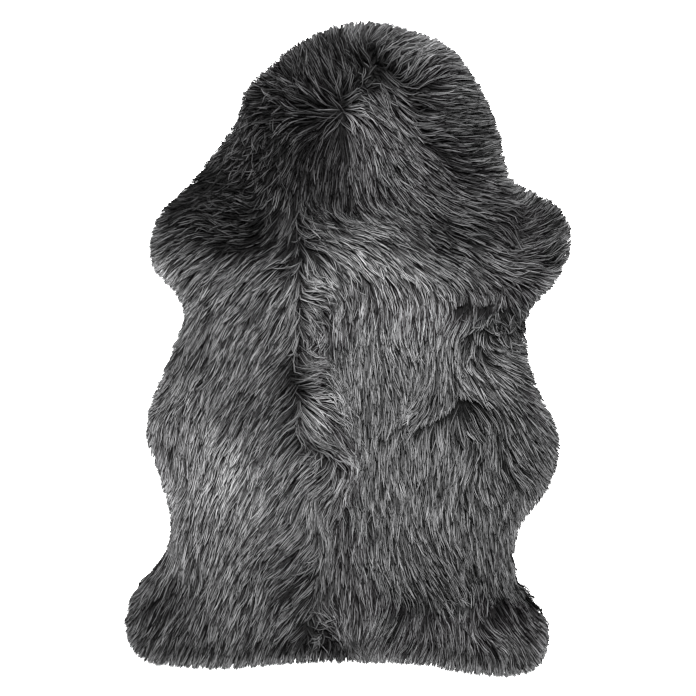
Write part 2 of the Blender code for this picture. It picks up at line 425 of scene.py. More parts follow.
def fibre_group():
    """Wool fibres, from a place along and across the strand: streaks that run along it, as a tone near 1 and
    as a height from 0 to 1."""
    group = bpy.data.node_groups.new("Wool fibres", "ShaderNodeTree")
    sockets = group.interface
    sockets.new_socket(name="Place", in_out="INPUT", socket_type="NodeSocketVector")
    sockets.new_socket(name="Contrast", in_out="INPUT", socket_type="NodeSocketFloat")
    sockets.new_socket(name="Tone", in_out="OUTPUT", socket_type="NodeSocketFloat")
    sockets.new_socket(name="Height", in_out="OUTPUT", socket_type="NodeSocketFloat")
    entry = group.nodes.new("NodeGroupInput")
    leave = group.nodes.new("NodeGroupOutput")
    streaks = add_node(group, "TexNoise", {"Scale": 1, "Detail": 3, "Roughness": 0.6})
    centred = add_node(group, "Math", {1: 0.5})
    centred.operation = "SUBTRACT"
    tone = add_node(group, "Math", {2: 1})
    tone.operation = "MULTIPLY_ADD"
    join(
        group,
        (entry, "Place", streaks, "Vector"),
        (streaks, "Fac", centred, 0),
        (centred, 0, tone, 0),
        (entry, "Contrast", tone, 1),
        (tone, 0, leave, "Tone"),
        (streaks, "Fac", leave, "Height"),
    )
    return group


wool_fibres = fibre_group()


def fibres_in(tree, contrast):
    """The wool fibres' group, placed in a material with its own contrast."""
    fibres = tree.nodes.new("ShaderNodeGroup")
    fibres.node_tree = wool_fibres
    fibres.inputs["Contrast"].default_value = contrast
    return fibres


def undercoat_wool():
    """Dense short wool, matt, with fibre streaks across its own surface. Its near-black colour is painted
    shade:
    the shadow deep between the locks.
    """
    matt = {"Roughness": 0.95, "Specular IOR Level": 0.0}
    material, tree, shader = new_material("undercoat_wool", matt)
    place = add_node(tree, "TexCoord", {})
    stretch = add_node(tree, "Mapping", {"Scale": (520, 70, 520)})
    fibres = fibres_in(tree, 2.2)
    colour = add_node(tree, "VectorMath", {0: UNDERCOAT_SHADE_COLOUR})
    colour.operation = "SCALE"
    bump = add_node(tree, "Bump", {"Distance": 0.003})
    join(
        tree,
        (place, "Object", stretch, "Vector"),
        (stretch, "Vector", fibres, "Place"),
        (fibres, "Tone", colour, "Scale"),
        (colour, "Vector", shader, "Base Color"),
        (fibres, "Height", bump, "Height"),
        (bump, "Normal", shader, "Normal"),
    )
    return material


undercoat_loop = drawn_in(edge, UNDERCOAT_INSET, UNDERCOAT_GRID)
undercoat_places, undercoat_triangles = filled(undercoat_loop, UNDERCOAT_GRID)
undercoat_top = wool_top.at(undercoat_places) - COAT_DEPTH
undercoat_top += UNDERCOAT_LUMPS * waves(undercoat_places, LUMP_LENGTH, 5)
undercoat_floor = np.full(len(undercoat_places), UNDERCOAT_FLOOR)
undercoat = slab(
    "undercoat",
    len(undercoat_loop),
    undercoat_places,
    undercoat_triangles,
    np.maximum(undercoat_top, undercoat_floor + UNDERCOAT_LEAST),
    undercoat_floor,
    undercoat_wool(),
)
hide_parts("lambskin")

# The long wool. It grows in locks of a few strands that rise from the skin, lie over on the way that the coat
# was combed and hang together at their tips. Five coats of such locks lie through one another over the hide.
WOOL_COLOUR = (0.0212, 0.0212, 0.0215)
GUIDE_POWER = 4  # of its distance, by which a stroke's weight falls
GUIDE_SOFT = 0.004  # added to the distance, so that the nearest stroke's weight has a limit
LEAK = 0.02  # how much a stroke counts on the other side of a parting


class Stroke(NamedTuple):
    """A stroke of the comb: where it is, and the way that the wool's tips point there."""

    right: float
    forward: float
    heading: float


CROWN = [
    Stroke(-30, 385, 120),
    Stroke(-64, 402, 113),
    Stroke(-87, 418, 115),
    Stroke(-121, 389, 156),
    Stroke(-135, 373, 170),
    Stroke(-121, 353, 203),
    Stroke(-152, 331, 238),
    Stroke(-87, 318, 207),
    Stroke(-64, 335, 188),
    Stroke(-26, 339, 184),
    Stroke(-25, 352, 140),
    Stroke(-27, 372, 114),
    Stroke(-22, 324, 222),
    Stroke(-9, 320, 268),
    Stroke(2, 328, -45),
    Stroke(-20, 302, 255),
    Stroke(-23, 398, 106),
    Stroke(-13, 362, 96),
    Stroke(6, 346, 15),
    Stroke(2, 372, 70),
    Stroke(4, 412, 112),
    Stroke(46, 440, 42),
    Stroke(90, 440, 8),
    Stroke(92, 396, 58),
    Stroke(22, 402, 125),
    Stroke(24, 382, 40),
    Stroke(44, 386, -58),
    Stroke(44, 430, 68),
    Stroke(4, 456, 60),
    Stroke(55, 452, 52),
    Stroke(71, 460, 15),
    Stroke(84, 402, 62),
    Stroke(113, 414, 42),
    Stroke(100, 385, 50),
    Stroke(141, 424, 5),
    Stroke(160, 414, -10),
    Stroke(170, 389, -10),
    Stroke(182, 366, -7),
    Stroke(113, 370, -18),
    Stroke(67, 366, -42),
    Stroke(55, 358, -60),
    Stroke(24, 364, -45),
    Stroke(12, 322, -58),
    Stroke(134, 396, 32),
    Stroke(-41, 353, 142),
    Stroke(-84, 353, 142),
]
NECK = [
    Stroke(-121, 324, 202),
    Stroke(-135, 290, 235),
    Stroke(-92, 299, 245),
    Stroke(-87, 261, 246),
    Stroke(-176, 280, 225),
    Stroke(-206, 266, 212),
    Stroke(-186, 251, 218),
    Stroke(-152, 247, 222),
    Stroke(-121, 235, 238),
    Stroke(-87, 224, 258),
    Stroke(-54, 235, 268),
    Stroke(-20, 257, 262),
    Stroke(-12, 272, 262),
    Stroke(4, 295, -82),
    Stroke(32, 305, -62),
    Stroke(32, 260, -78),
    Stroke(67, 328, -52),
    Stroke(78, 295, -55),
    Stroke(113, 328, -5),
    Stroke(122, 307, 8),
    Stroke(103, 272, -50),
    Stroke(125, 260, -43),
    Stroke(148, 295, -5),
    Stroke(160, 334, 5),
    Stroke(193, 317, 7),
    Stroke(193, 288, 12),
    Stroke(205, 264, 10),
    Stroke(182, 237, -10),
    Stroke(224, 231, -15),
]
SHOULDERS = [
    Stroke(-30, 224, 260),
    Stroke(-9, 213, 268),
    Stroke(-46, 195, 325),
    Stroke(-20, 180, 325),
    Stroke(-42, 168, 340),
    Stroke(-54, 148, 345),
    Stroke(-97, 180, 243),
    Stroke(-157, 213, 165),
    Stroke(-231, 168, 205),
    Stroke(-264, 168, 207),
    Stroke(-198, 180, 165),
    Stroke(-164, 168, 175),
    Stroke(67, 225, -58),
    Stroke(32, 225, -75),
    Stroke(90, 225, -45),
    Stroke(125, 225, -35),
    Stroke(44, 192, -38),
    Stroke(9, 190, -40),
    Stroke(9, 167, -12),
    Stroke(44, 167, -20),
    Stroke(78, 171, -38),
    Stroke(-12, 144, -30),
    Stroke(32, 144, -35),
    Stroke(67, 139, -40),
    Stroke(102, 155, -35),
    Stroke(148, 202, -25),
    Stroke(170, 190, -17),
    Stroke(216, 202, -10),
    Stroke(182, 155, -20),
    Stroke(205, 167, -30),
    Stroke(235, 171, -60),
    Stroke(263, 222, 60),
    Stroke(275, 199, 30),
    Stroke(275, 167, 28),
    Stroke(298, 203, 40),
    Stroke(298, 150, 38),
]
RIGHT_SIDE = [
    Stroke(22, 123, -50),
    Stroke(44, 112, -60),
    Stroke(89, 123, -42),
    Stroke(122, 112, -38),
    Stroke(144, 135, -22),
    Stroke(177, 123, -40),
    Stroke(211, 112, -28),
    Stroke(263, 144, 15),
    Stroke(256, 123, 5),
    Stroke(298, 130, 40),
    Stroke(277, 112, -18),
    Stroke(10, 78, -85),
    Stroke(33, 57, 258),
    Stroke(0, 23, 272),
    Stroke(55, 78, -68),
    Stroke(44, 12, -88),
    Stroke(67, -10, -72),
    Stroke(67, -32, -78),
    Stroke(33, -32, 268),
    Stroke(10, -44, 268),
    Stroke(89, 78, -76),
    Stroke(89, 46, 265),
    Stroke(122, 68, -75),
    Stroke(122, 35, -88),
    Stroke(157, 32, 240),
    Stroke(182, 23, 240),
    Stroke(173, 1, 255),
    Stroke(155, 1, 268),
    Stroke(182, -32, -55),
    Stroke(199, -54, -45),
    Stroke(173, -58, -55),
    Stroke(222, 23, -55),
    Stroke(211, -10, -22),
    Stroke(244, -3, -16),
    Stroke(256, -32, -30),
    Stroke(244, -54, -35),
    Stroke(216, 60, 260),
    Stroke(244, 64, -50),
    Stroke(254, 51, 270),
    Stroke(256, 20, 288),
]
RIGHT_FLANK_WOOL = [
    Stroke(222, -77, -50),
    Stroke(277, -99, -48),
    Stroke(295, -121, -52),
    Stroke(134, -61, 265),
    Stroke(113, -65, 245),
    Stroke(93, -94, 225),
    Stroke(144, -106, 265),
    Stroke(158, -77, 245),
    Stroke(172, -80, -45),
    Stroke(184, -99, -60),
    Stroke(211, -87, -55),
    Stroke(189, -121, -50),
    Stroke(215, -121, 265),
    Stroke(180, -144, 252),
    Stroke(144, -132, 280),
    Stroke(122, -144, 270),
    Stroke(77, -87, -88),
    Stroke(67, -65, -78),
    Stroke(44, -110, 262),
    Stroke(22, -87, 272),
    Stroke(232, -132, -58),
    Stroke(277, -154, -60),
    Stroke(211, -154, 262),
]
LEFT_SIDE = [
    Stroke(-280, 135, 212),
    Stroke(-257, 112, 228),
    Stroke(-235, 78, 232),
    Stroke(-235, 123, 215),
    Stroke(-192, 135, 212),
    Stroke(-192, 90, 228),
    Stroke(-147, 112, 228),
    Stroke(-157, 73, 232),
    Stroke(-113, 102, 217),
    Stroke(-102, 135, 215),
    Stroke(-87, 78, 242),
    Stroke(-80, 46, 245),
    Stroke(-113, 46, 240),
    Stroke(-147, 35, 237),
    Stroke(-192, 35, 242),
    Stroke(-235, 23, 248),
    Stroke(-247, 6, 242),
    Stroke(-224, -10, 245),
    Stroke(-180, -10, 245),
    Stroke(-147, -10, 243),
    Stroke(-113, 1, 240),
    Stroke(-92, -16, 225),
    Stroke(-102, -54, 235),
    Stroke(-125, -65, 242),
    Stroke(-92, -87, 225),
    Stroke(-113, -99, 238),
    Stroke(-80, -110, 207),
    Stroke(-169, -87, 235),
    Stroke(-192, -65, 247),
    Stroke(-214, -44, 240),
    Stroke(-247, -44, 248),
    Stroke(-257, -58, 237),
    Stroke(-280, -77, 222),
    Stroke(-269, -110, 258),
    Stroke(-259, -141, 262),
    Stroke(-247, -132, 256),
    Stroke(-214, -121, 262),
    Stroke(-180, -132, 240),
    Stroke(-147, -121, 248),
]
ALONG_PARTING = [
    Stroke(-80, 138, 240),
    Stroke(-75, 94, 238),
    Stroke(3, -83, 268),
    Stroke(-73, 36, 243),
    Stroke(-73, -104, 232),
    Stroke(-58, 123, -78),
    Stroke(-58, 90, -15),
    Stroke(-46, 73, -10),
    Stroke(-54, 60, -15),
    Stroke(-46, 41, -40),
    Stroke(-58, 31, -50),
    Stroke(-46, 1, 230),
    Stroke(-58, -15, -30),
    Stroke(-46, -28, 5),
    Stroke(-58, -52, 20),
    Stroke(-42, -61, 12),
    Stroke(-62, -77, -35),
    Stroke(-58, -99, -50),
    Stroke(-35, -110, -50),
    Stroke(-6, -99, -30),
    Stroke(-13, -132, -60),
    Stroke(-35, -139, -27),
    Stroke(-9, -158, -25),
    Stroke(-25, 112, -62),
    Stroke(-13, 90, -60),
    Stroke(-25, 35, -88),
    Stroke(-1, 46, 265),
    Stroke(-13, -20, -85),
    Stroke(-13, -54, -65),
    Stroke(9, -110, 268),
]
LEFT_HIP = [
    Stroke(-92, -132, 232),
    Stroke(-102, -154, 238),
    Stroke(-58, -166, 230),
    Stroke(-25, -171, 240),
    Stroke(-276, -167, 268),
    Stroke(-231, -167, 268),
    Stroke(-243, -212, 246),
    Stroke(-209, -200, 248),
    Stroke(-164, -167, 246),
    Stroke(-176, -212, 250),
    Stroke(-131, -200, 246),
    Stroke(-87, -200, 234),
    Stroke(-42, -179, 215),
    Stroke(-35, -200, 215),
    Stroke(-9, -179, 262),
    Stroke(-42, -227, -80),
    Stroke(-35, -259, -75),
    Stroke(-64, -234, 240),
    Stroke(-109, -244, 233),
    Stroke(-109, -279, 227),
    Stroke(-76, -279, 225),
    Stroke(-64, -301, 235),
    Stroke(-154, -244, 246),
    Stroke(-198, -234, 254),
    Stroke(-198, -279, 252),
    Stroke(-243, -244, 255),
    Stroke(-247, -279, 262),
]
LEFT_HIND_WOOL = [
    Stroke(-264, -311, 252),
    Stroke(-286, -322, 237),
    Stroke(-221, -322, 262),
    Stroke(-154, -322, 246),
    Stroke(-131, -344, 255),
    Stroke(-92, -334, 215),
    Stroke(-87, -356, 225),
    Stroke(-64, -322, 227),
    Stroke(-309, -356, 235),
    Stroke(-309, -389, 238),
    Stroke(-286, -389, 248),
    Stroke(-253, -368, 243),
    Stroke(-276, -423, 240),
    Stroke(-309, -423, 228),
    Stroke(-231, -434, 246),
    Stroke(-209, -368, 245),
    Stroke(-198, -401, 255),
    Stroke(-142, -401, 250),
    Stroke(-109, -389, 246),
    Stroke(-109, -434, 246),
    Stroke(-87, -401, 230),
    Stroke(-286, -449, 240),
]
RIGHT_HIP = [
    Stroke(-4, -190, 240),
    Stroke(16, -180, 255),
    Stroke(-13, -234, 240),
    Stroke(1, -230, -60),
    Stroke(28, -202, 275),
    Stroke(16, -244, 265),
    Stroke(60, -244, 272),
    Stroke(70, -180, 275),
    Stroke(112, -202, 265),
    Stroke(134, -170, 262),
    Stroke(144, -234, 268),
    Stroke(166, -180, 248),
    Stroke(176, -212, -78),
    Stroke(176, -234, 276),
    Stroke(208, -212, -72),
    Stroke(198, -254, 272),
    Stroke(230, -170, -60),
    Stroke(251, -180, -40),
    Stroke(251, -212, -74),
    Stroke(283, -170, -55),
    Stroke(230, -234, -80),
    Stroke(240, -276, 272),
    Stroke(187, -276, -84),
    Stroke(144, -276, -72),
    Stroke(102, -286, -65),
    Stroke(38, -276, 272),
]
RIGHT_HIND_WOOL = [
    Stroke(-20, -301, 262),
    Stroke(-9, -334, 268),
    Stroke(-30, -344, 262),
    Stroke(-20, -368, -65),
    Stroke(-38, -384, -42),
    Stroke(-34, -404, -12),
    Stroke(-14, -410, -60),
    Stroke(-8, -372, -82),
    Stroke(-38, -430, 250),
    Stroke(-6, -438, 262),
    Stroke(12, -440, -72),
    Stroke(230, -308, 278),
    Stroke(134, -308, -66),
    Stroke(80, -298, 285),
    Stroke(16, -308, 282),
    Stroke(60, -330, 283),
    Stroke(92, -350, -62),
    Stroke(123, -340, -56),
    Stroke(144, -362, 305),
    Stroke(102, -382, 260),
    Stroke(70, -382, 245),
    Stroke(60, -404, 240),
    Stroke(28, -362, 278),
    Stroke(6, -394, 258),
    Stroke(33, -421, 250),
    Stroke(102, -436, 245),
    Stroke(123, -404, 287),
    Stroke(176, -372, 262),
    Stroke(176, -446, 262),
    Stroke(219, -394, -50),
    Stroke(240, -378, -60),
    Stroke(261, -414, -48),
    Stroke(283, -404, -50),
    Stroke(208, -421, -40),
    Stroke(261, -446, -60),
    Stroke(230, -453, 280),
]
COMBING = (
    CROWN
    + NECK
    + SHOULDERS
    + RIGHT_SIDE
    + RIGHT_FLANK_WOOL
    + LEFT_SIDE
    + ALONG_PARTING
    + LEFT_HIP
    + LEFT_HIND_WOOL
    + RIGHT_HIP
    + RIGHT_HIND_WOOL
)


class Parting(NamedTuple):
    """A straight run between two places: a parting, across which the comb's strokes hardly reach, or a fold,
    at which a lock that comes from its left ends."""

    right: float
    forward: float
    right_end: float
    forward_end: float


PARTINGS = [
    Parting(-70, 205, -84, 123),
    Parting(-84, 123, -68, 64),
    Parting(-68, 64, -73, 1),
    Parting(-73, 1, -84, -44),
    Parting(-84, -44, -70, -68),
    Parting(-70, -68, -68, -140),
    Parting(-68, -140, -22, -154),
    Parting(-46, -216, -26, -259),
    Parting(-26, -259, -44, -279),
    Parting(-44, -279, -42, -344),
    Parting(-42, -344, -54, -410),
    Parting(-6, 462, 30, 434),
    Parting(30, 434, 64, 390),
    Parting(251, 211, 244, 151),
    Parting(153, -86, 113, -115),
    Parting(-9, 334, -12, 362),
    Parting(-12, 362, -16, 402),
]
FOLDS = [
    Parting(98, -118, 122, -108),
    Parting(122, -108, 144, -94),
    Parting(144, -94, 168, -73),
    Parting(166, -73, 190, -80),
    Parting(190, -80, 210, -98),
    Parting(-36, -143, -10, -160),
    Parting(151, 55, 174, 66),
    Parting(184, 56, 208, 63),
    Parting(216, 50, 236, 60),
    Parting(204, -374, 224, -358),
    Parting(254, -362, 271, -364),
    Parting(-105, 119, -84, 122),
    Parting(-84, 122, -70, 135),
    Parting(-70, -396, -44, -404),
]


class Patch(NamedTuple):
    """A place where shade or light is painted into the wool: its half sizes, how far it is turned to the
    left, and the power of e by which the tone changes in its middle, painted shade where it is under 0 and
    painted light where it is over 0."""

    right: float
    forward: float
    half_width: float
    half_length: float
    turn: float
    tone: float


# Painted shade in hollows, at partings and folds and on wool that lies away from the light, and painted light
# on wool that faces it.
NECK_PATCHES = [
    Patch(-100, 330, 110, 150, -12, -1.80),
    Patch(-62, 300, 50, 60, 0, -0.65),
    Patch(-130, 340, 34, 50, 0, -0.35),
    Patch(-5, 430, 75, 42, 0, -0.60),
    Patch(-45, 425, 50, 24, 0, -0.60),
    Patch(-28, 371, 34, 19, 0, 0.30),
    Patch(-70, 380, 30, 24, 0, -0.20),
    Patch(-84, 290, 20, 20, 0, 0.25),
    Patch(42, 414, 13, 32, 42, -1.00),
    Patch(66, 393, 20, 13, -10, -1.70),
    Patch(8, 392, 26, 40, 20, -0.55),
    Patch(68, 418, 34, 20, 0, -0.55),
    Patch(-20, 446, 18, 14, 0, -0.95),
    Patch(20, 418, 10, 16, 40, -0.60),
    Patch(14, 334, 24, 30, 0, 1.35),
    Patch(-44, 232, 44, 60, 0, -1.10),
    Patch(-36, 330, 32, 22, 0, -0.42),
    Patch(-18, 240, 26, 52, 0, -0.72),
    Patch(16, 207, 58, 27, 0, -0.75),
    Patch(50, 310, 40, 85, -8, 0.30),
    Patch(102, 298, 44, 36, 0, 0.70),
    Patch(-38, 165, 30, 52, 10, 0.42),
    Patch(110, 400, 120, 100, 0, -0.95),
    Patch(106, 434, 50, 34, 10, 1.12),
    Patch(155, 375, 40, 24, 0, 0.65),
    Patch(175, 290, 90, 90, 0, -0.98),
    Patch(170, 285, 40, 52, 0, -0.42),
]
SHOULDER_PATCHES = [
    Patch(-190, 210, 105, 70, 15, -1.92),
    Patch(-125, 163, 52, 25, 0, -1.35),
    Patch(-222, 238, 45, 35, 40, -0.85),
    Patch(-250, 157, 28, 20, 0, 0.30),
    Patch(-208, 243, 29, 23, 0, -1.45),
    Patch(-256, 203, 26, 23, 0, -1.85),
    Patch(-150, 148, 95, 15, -4, -0.50),
    Patch(-145, 136, 75, 8, -4, -0.35),
    Patch(-150, 112, 75, 12, -4, 0.28),
    Patch(-84, 190, 16, 60, 0, -0.25),
    Patch(-258, 114, 40, 24, 0, 1.00),
    Patch(-215, 72, 42, 32, 0, 0.40),
    Patch(-65, 72, 34, 24, 0, 0.45),
    Patch(-160, 118, 68, 20, 0, -0.30),
    Patch(265, 195, 75, 60, 0, -1.08),
    Patch(308, 185, 30, 45, 0, -0.60),
    Patch(226, 252, 32, 34, 0, 0.85),
    Patch(150, 168, 85, 34, -5, -0.90),
    Patch(134, 150, 32, 26, 0, -0.72),
    Patch(250, 155, 52, 22, 0, -0.56),
    Patch(300, 125, 26, 30, 0, -0.45),
    Patch(40, 116, 78, 22, 0, 0.50),
    Patch(40, 158, 30, 16, 0, 0.38),
]
BODY_PATCHES = [
    Patch(208, 46, 50, 26, 0, -0.75),
    Patch(221, 24, 22, 16, 0, 0.30),
    Patch(240, 26, 40, 18, 0, -0.95),
    Patch(134, 70, 26, 20, 0, 0.40),
    Patch(221, 72, 20, 40, 0, 0.20),
    Patch(221, -5, 24, 32, 0, 0.45),
    Patch(264, -25, 38, 110, 0, -0.45),
    Patch(264, 26, 18, 24, 0, -1.30),
    Patch(-86, 55, 16, 100, 0, -0.42),
    Patch(-95, -40, 26, 48, 0, -0.85),
    Patch(-82, -54, 18, 31, 0, -1.10),
    Patch(-111, -109, 36, 34, 0, -0.52),
    Patch(-66, -138, 30, 20, -25, -0.60),
    Patch(-84, -148, 18, 18, 0, -0.60),
    Patch(-40, -98, 24, 34, 0, 0.75),
    Patch(-75, -105, 14, 24, 0, 0.30),
    Patch(60, 60, 90, 90, 0, 0.30),
    Patch(52, 0, 34, 40, 0, 0.28),
    Patch(2, 70, 20, 20, 0, -0.35),
    Patch(135, -104, 28, 6, 36, -0.80),
    Patch(170, -92, 10, 15, 0, -0.65),
    Patch(184, -98, 28, 22, 0, -0.50),
    Patch(218, -128, 32, 40, 0, -0.50),
    Patch(300, -148, 20, 24, 0, -0.50),
    Patch(190, -53, 62, 32, 0, 0.45),
    Patch(-238, -20, 36, 38, 0, -0.75),
    Patch(-238, -68, 36, 12, -15, 0.32),
    Patch(-145, -80, 45, 36, 0, -0.42),
    Patch(-36, -153, 24, 7, -30, -1.10),
    Patch(-42, -148, 30, 17, 0, -0.72),
    Patch(-41, -192, 20, 18, 0, 0.25),
]
RUMP_PATCHES = [
    Patch(-215, -180, 85, 85, 0, 0.35),
    Patch(-258, -185, 32, 60, 0, 0.25),
    Patch(-171, -180, 30, 36, 0, 0.50),
    Patch(-160, -250, 70, 45, 0, 0.12),
    Patch(-275, -375, 50, 45, 0, -1.50),
    Patch(-262, -352, 34, 14, 0, -0.34),
    Patch(-200, -406, 60, 28, 0, -0.36),
    Patch(-258, -279, 20, 20, 0, -0.30),
    Patch(-302, -445, 22, 16, 0, -0.55),
    Patch(-68, -366, 50, 46, 0, -1.46),
    Patch(-100, -318, 36, 26, 0, -0.82),
    Patch(-84, -424, 64, 36, 0, -0.46),
    Patch(-20, -281, 34, 30, 0, -0.62),
    Patch(92, -380, 48, 34, 0, -1.20),
    Patch(25, -366, 60, 24, 0, -0.30),
    Patch(150, -335, 55, 46, 0, -0.50),
    Patch(125, -436, 40, 22, 0, -0.16),
    Patch(222, -382, 62, 48, 0, -1.34),
    Patch(264, -386, 28, 44, 0, -0.55),
    Patch(259, -364, 32, 24, 0, -1.15),
    Patch(221, -300, 24, 36, 0, -0.32),
    Patch(221, -430, 36, 30, 0, 0.45),
    Patch(-10, -438, 22, 12, 0, -1.10),
    Patch(-22, -449, 37, 17, 0, -0.70),
    Patch(134, -235, 26, 24, 0, 0.20),
]
SHADE_AND_LIGHT_PATCHES = NECK_PATCHES + SHOULDER_PATCHES + BODY_PATCHES + RUMP_PATCHES


class Tangle(NamedTuple):
    """A place where the locks curl and cross each other: its radius, and by how many degrees they stray."""

    right: float
    forward: float
    radius: float
    stray: float


TANGLES = [
    Tangle(12, 386, 24, 30),
    Tangle(-4, 345, 12, 18),
    Tangle(-130, 305, 62, 22),
    Tangle(-165, 205, 62, 20),
    Tangle(-90, 390, 44, 20),
    Tangle(60, 410, 40, 14),
    Tangle(-70, 170, 14, 25),
    Tangle(-70, 120, 12, 30),
    Tangle(-56, 92, 16, 24),
    Tangle(-52, 62, 16, 24),
    Tangle(-60, 22, 12, 24),
    Tangle(-60, -55, 12, 25),
    Tangle(-44, -150, 16, 25),
    Tangle(-36, -248, 14, 25),
    Tangle(-42, -300, 12, 25),
    Tangle(-46, 195, 18, 25),
    Tangle(0, 80, 16, 25),
    Tangle(-48, 30, 16, 20),
    Tangle(-52, -15, 16, 22),
    Tangle(205, 34, 26, 40),
    Tangle(248, 40, 22, 40),
    Tangle(93, -94, 14, 30),
    Tangle(144, -362, 16, 25),
    Tangle(-48, -378, 20, 35),
    Tangle(-40, -410, 18, 35),
    Tangle(2, -440, 16, 25),
]


class Coat(NamedTuple):
    """One of the coats of locks, in metres: how deep their roots are, how far the tips lie over or under the
    coat's top, their strands' length and width, their tone, how many degrees they stray, how many strands
    they have, and where along a strand its cross-sections are, as shares of its length."""

    name: str
    root_depth: float
    tip_lift: float
    length: float
    width: float
    tone: float
    stray: float
    strands: int
    rings: tuple


FEW_RINGS = (0, 0.5, 0.88)
RINGS = (0, 0.38, 0.70, 0.92)
# The coats' tones rise from the deep coat to the top one: painted shade on the locks that lie deeper.
DEEP_COAT = Coat("wool_deep", 0.014, -0.0042, 0.034, 0.0024, 0.32, 12, 1, FEW_RINGS)
LONG_COATS = [
    Coat("wool_inner", 0.011, -0.0018, 0.042, 0.00140, 0.90, 5, 3, RINGS),
    Coat("wool_middle", 0.010, -0.0008, 0.043, 0.00130, 0.97, 5, 3, RINGS),
    Coat("wool_outer", 0.009, 0.0002, 0.044, 0.00122, 1.04, 5, 3, RINGS),
    Coat("wool_top", 0.008, 0.0012, 0.045, 0.00114, 1.12, 5, 3, RINGS),
]


class Bed(NamedTuple):
    """Where locks are rooted, in metres: the gap between them, the least and most way in from the wool's
    edge, and the most way from a parting."""

    gap: float
    least: float
    most: float
    parting: float


DEEP_BEDS = [
    Bed(0.0072, 0.004, 1.0, 1.0),
]
LONG_BEDS = [
    Bed(0.0072, 0.006, 1.0, 1.0),
    Bed(0.0080, 0.004, 0.028, 1.0),
    Bed(0.0098, 0.028, 1.0, 0.012),
]
STRAND_HEIGHT = 0.5  # of its width
CORNER_REACH = 1.15  # of a cross-section's corners from its middle, over half its width
RIDGE_REACH = 1.4  # how much further they reach up and down, before the strand's height is counted
WIDTH_STATIONS = (0, 0.35, 0.75, 1)  # shares of a strand's length
WIDTH_SHARES = (0.7, 1.0, 0.85, 0.35)  # of its width there
# A painted highlight along each strand's ridge and painted shade at its two lower sides, where it meets its
# neighbours.
RIDGE_HIGHLIGHT_SIDE_SHADE = (1.5, 0.4, 0.4)  # of a strand's upper and two lower corners
CELL_SHAPE = 20 / 6  # the height of a strand's cell in its flat map, over the cell's width
ROOT_CELL = 0.14  # the share of a cell's height for the root's triangle
MAP_PIXELS = 1024
ROW_GAP = 0.866  # between two rows of roots, over the gap in a row
ROOT_SHIFT = 0.4  # the most by which a root leaves its place, over the gap
LOCK_WIDTH = 0.0042
LOCK_WIDTHS = (0.8, 1.3)  # the least and most of a lock's width, over that
GATHER = (0.15, 0.7)  # the least and most by which a lock's strands draw together
LENGTHS = (0.8, 1.15)  # the least and most of a lock's length, over its coat's
WIDTHS = (0.7, 1.25)  # the least and most of a strand's width, over its coat's
LOCK_WAVE = 7  # degrees by which neighbours turn together
LOCK_BEND = 7  # degrees by which a lock bends at its tip
SHORTEST = 0.012  # that a lock may be once it is cut
OVERHANG = 0.0016  # the most by which a tip passes the wool's edge
DRIFT = 0.004  # how far beside itself a lock takes its way from, so that locks cross the partings
ROOT_SPREAD = 0.010  # how far a lock's strands start before or behind one another
SPLAY = 0.03  # how far a strand leaves its lock, as a share of its length
CRIMP_LENGTH = 0.026  # of a strand's waves
CRIMP_CHANGE = 0.004  # how much longer or shorter they are from place to place
CRIMP_SWINGS = (0.0003, 0.0010)  # the least and most of their height
CRIMP_SHIFT = 0.7  # how far one strand's waves are from its neighbour's, in radians
RANK_LIFT = 0.0007  # how much higher a strand's tip is for each step of its rank
LIFT_REACH = 0.03  # from the edge to where the wool has its full lift
EDGE_LIFT = 0.35  # the share of it that is left at the edge
FLOOR_GAP = 0.0004
ROLL = 22  # degrees
FIBRE_LENGTH = 0.004
FIBRE_SHIFT = 7.0  # from one strand's fibres to the next one's
TANGLE_CURL = 0.55  # how much shorter the locks look where they curl
EDGE_FALL = 0.35  # how far the wool near the edge turns outwards, as a share of its combed way
EDGE_REACH = 0.012
# A lock's and a strand's ranks set both how high its tip lies and its tone, so the wool that lies lower is
# darker: painted shade over a random tone. The tones also spread further where the patches paint shade.
LOCK_CONTRAST = 0.12
STRAND_CONTRAST = 0.96
DARK_CONTRAST = 0.42  # how much further the strands' tones spread in darker wool
PALEST = 1.05  # the highest rank that still makes a strand paler
DARKER = 1.35  # by how much the darker half's ranks are spread further
SHALLOW = 0.65  # by how much the roots are less deep at a parting
SHALLOW_REACH = 0.020
# At a parting the root lies in the open, so less of the painted root shade is put on it.
PALE_ROOTS = 0.28  # how far up its own length a strand's tone starts at a parting, where its root shows


def beside(start, end, third):
    """How far the third place is to the left of the run from start to end, times the run's length."""
    run, other = end - start, third - start
    return run[..., 0] * other[..., 1] - run[..., 1] * other[..., 0]


def crosses(points, stroke, parting):
    """Whether the straight run from each point to a stroke crosses a parting: each run has the other's ends
    on both its sides."""
    start, end = parting
    across = (beside(points, stroke, start) > 0) != (beside(points, stroke, end) > 0)
    return across & ((beside(start, end, points) > 0) != (beside(start, end, stroke) > 0))


def combed(points):
    """The wool's way at each point: the strokes' unit headings, each divided by its distance to the fourth
    power and cut down where a parting lies between."""
    strokes = placed(COMBING)
    headings = np.radians([stroke.heading for stroke in COMBING])
    away = np.linalg.norm(points[:, None] - strokes[None], axis=2)
    weight = 1 / (away + GUIDE_SOFT) ** GUIDE_POWER
    for parting in PARTINGS:
        ends = np.array(parting).reshape(2, 2) * MM + TABLE_ORIGIN
        weight[crosses(points[:, None], strokes[None], ends)] *= LEAK
    way = weight @ np.stack([np.cos(headings), np.sin(headings)], axis=1)
    return way / np.linalg.norm(way, axis=1, keepdims=True)


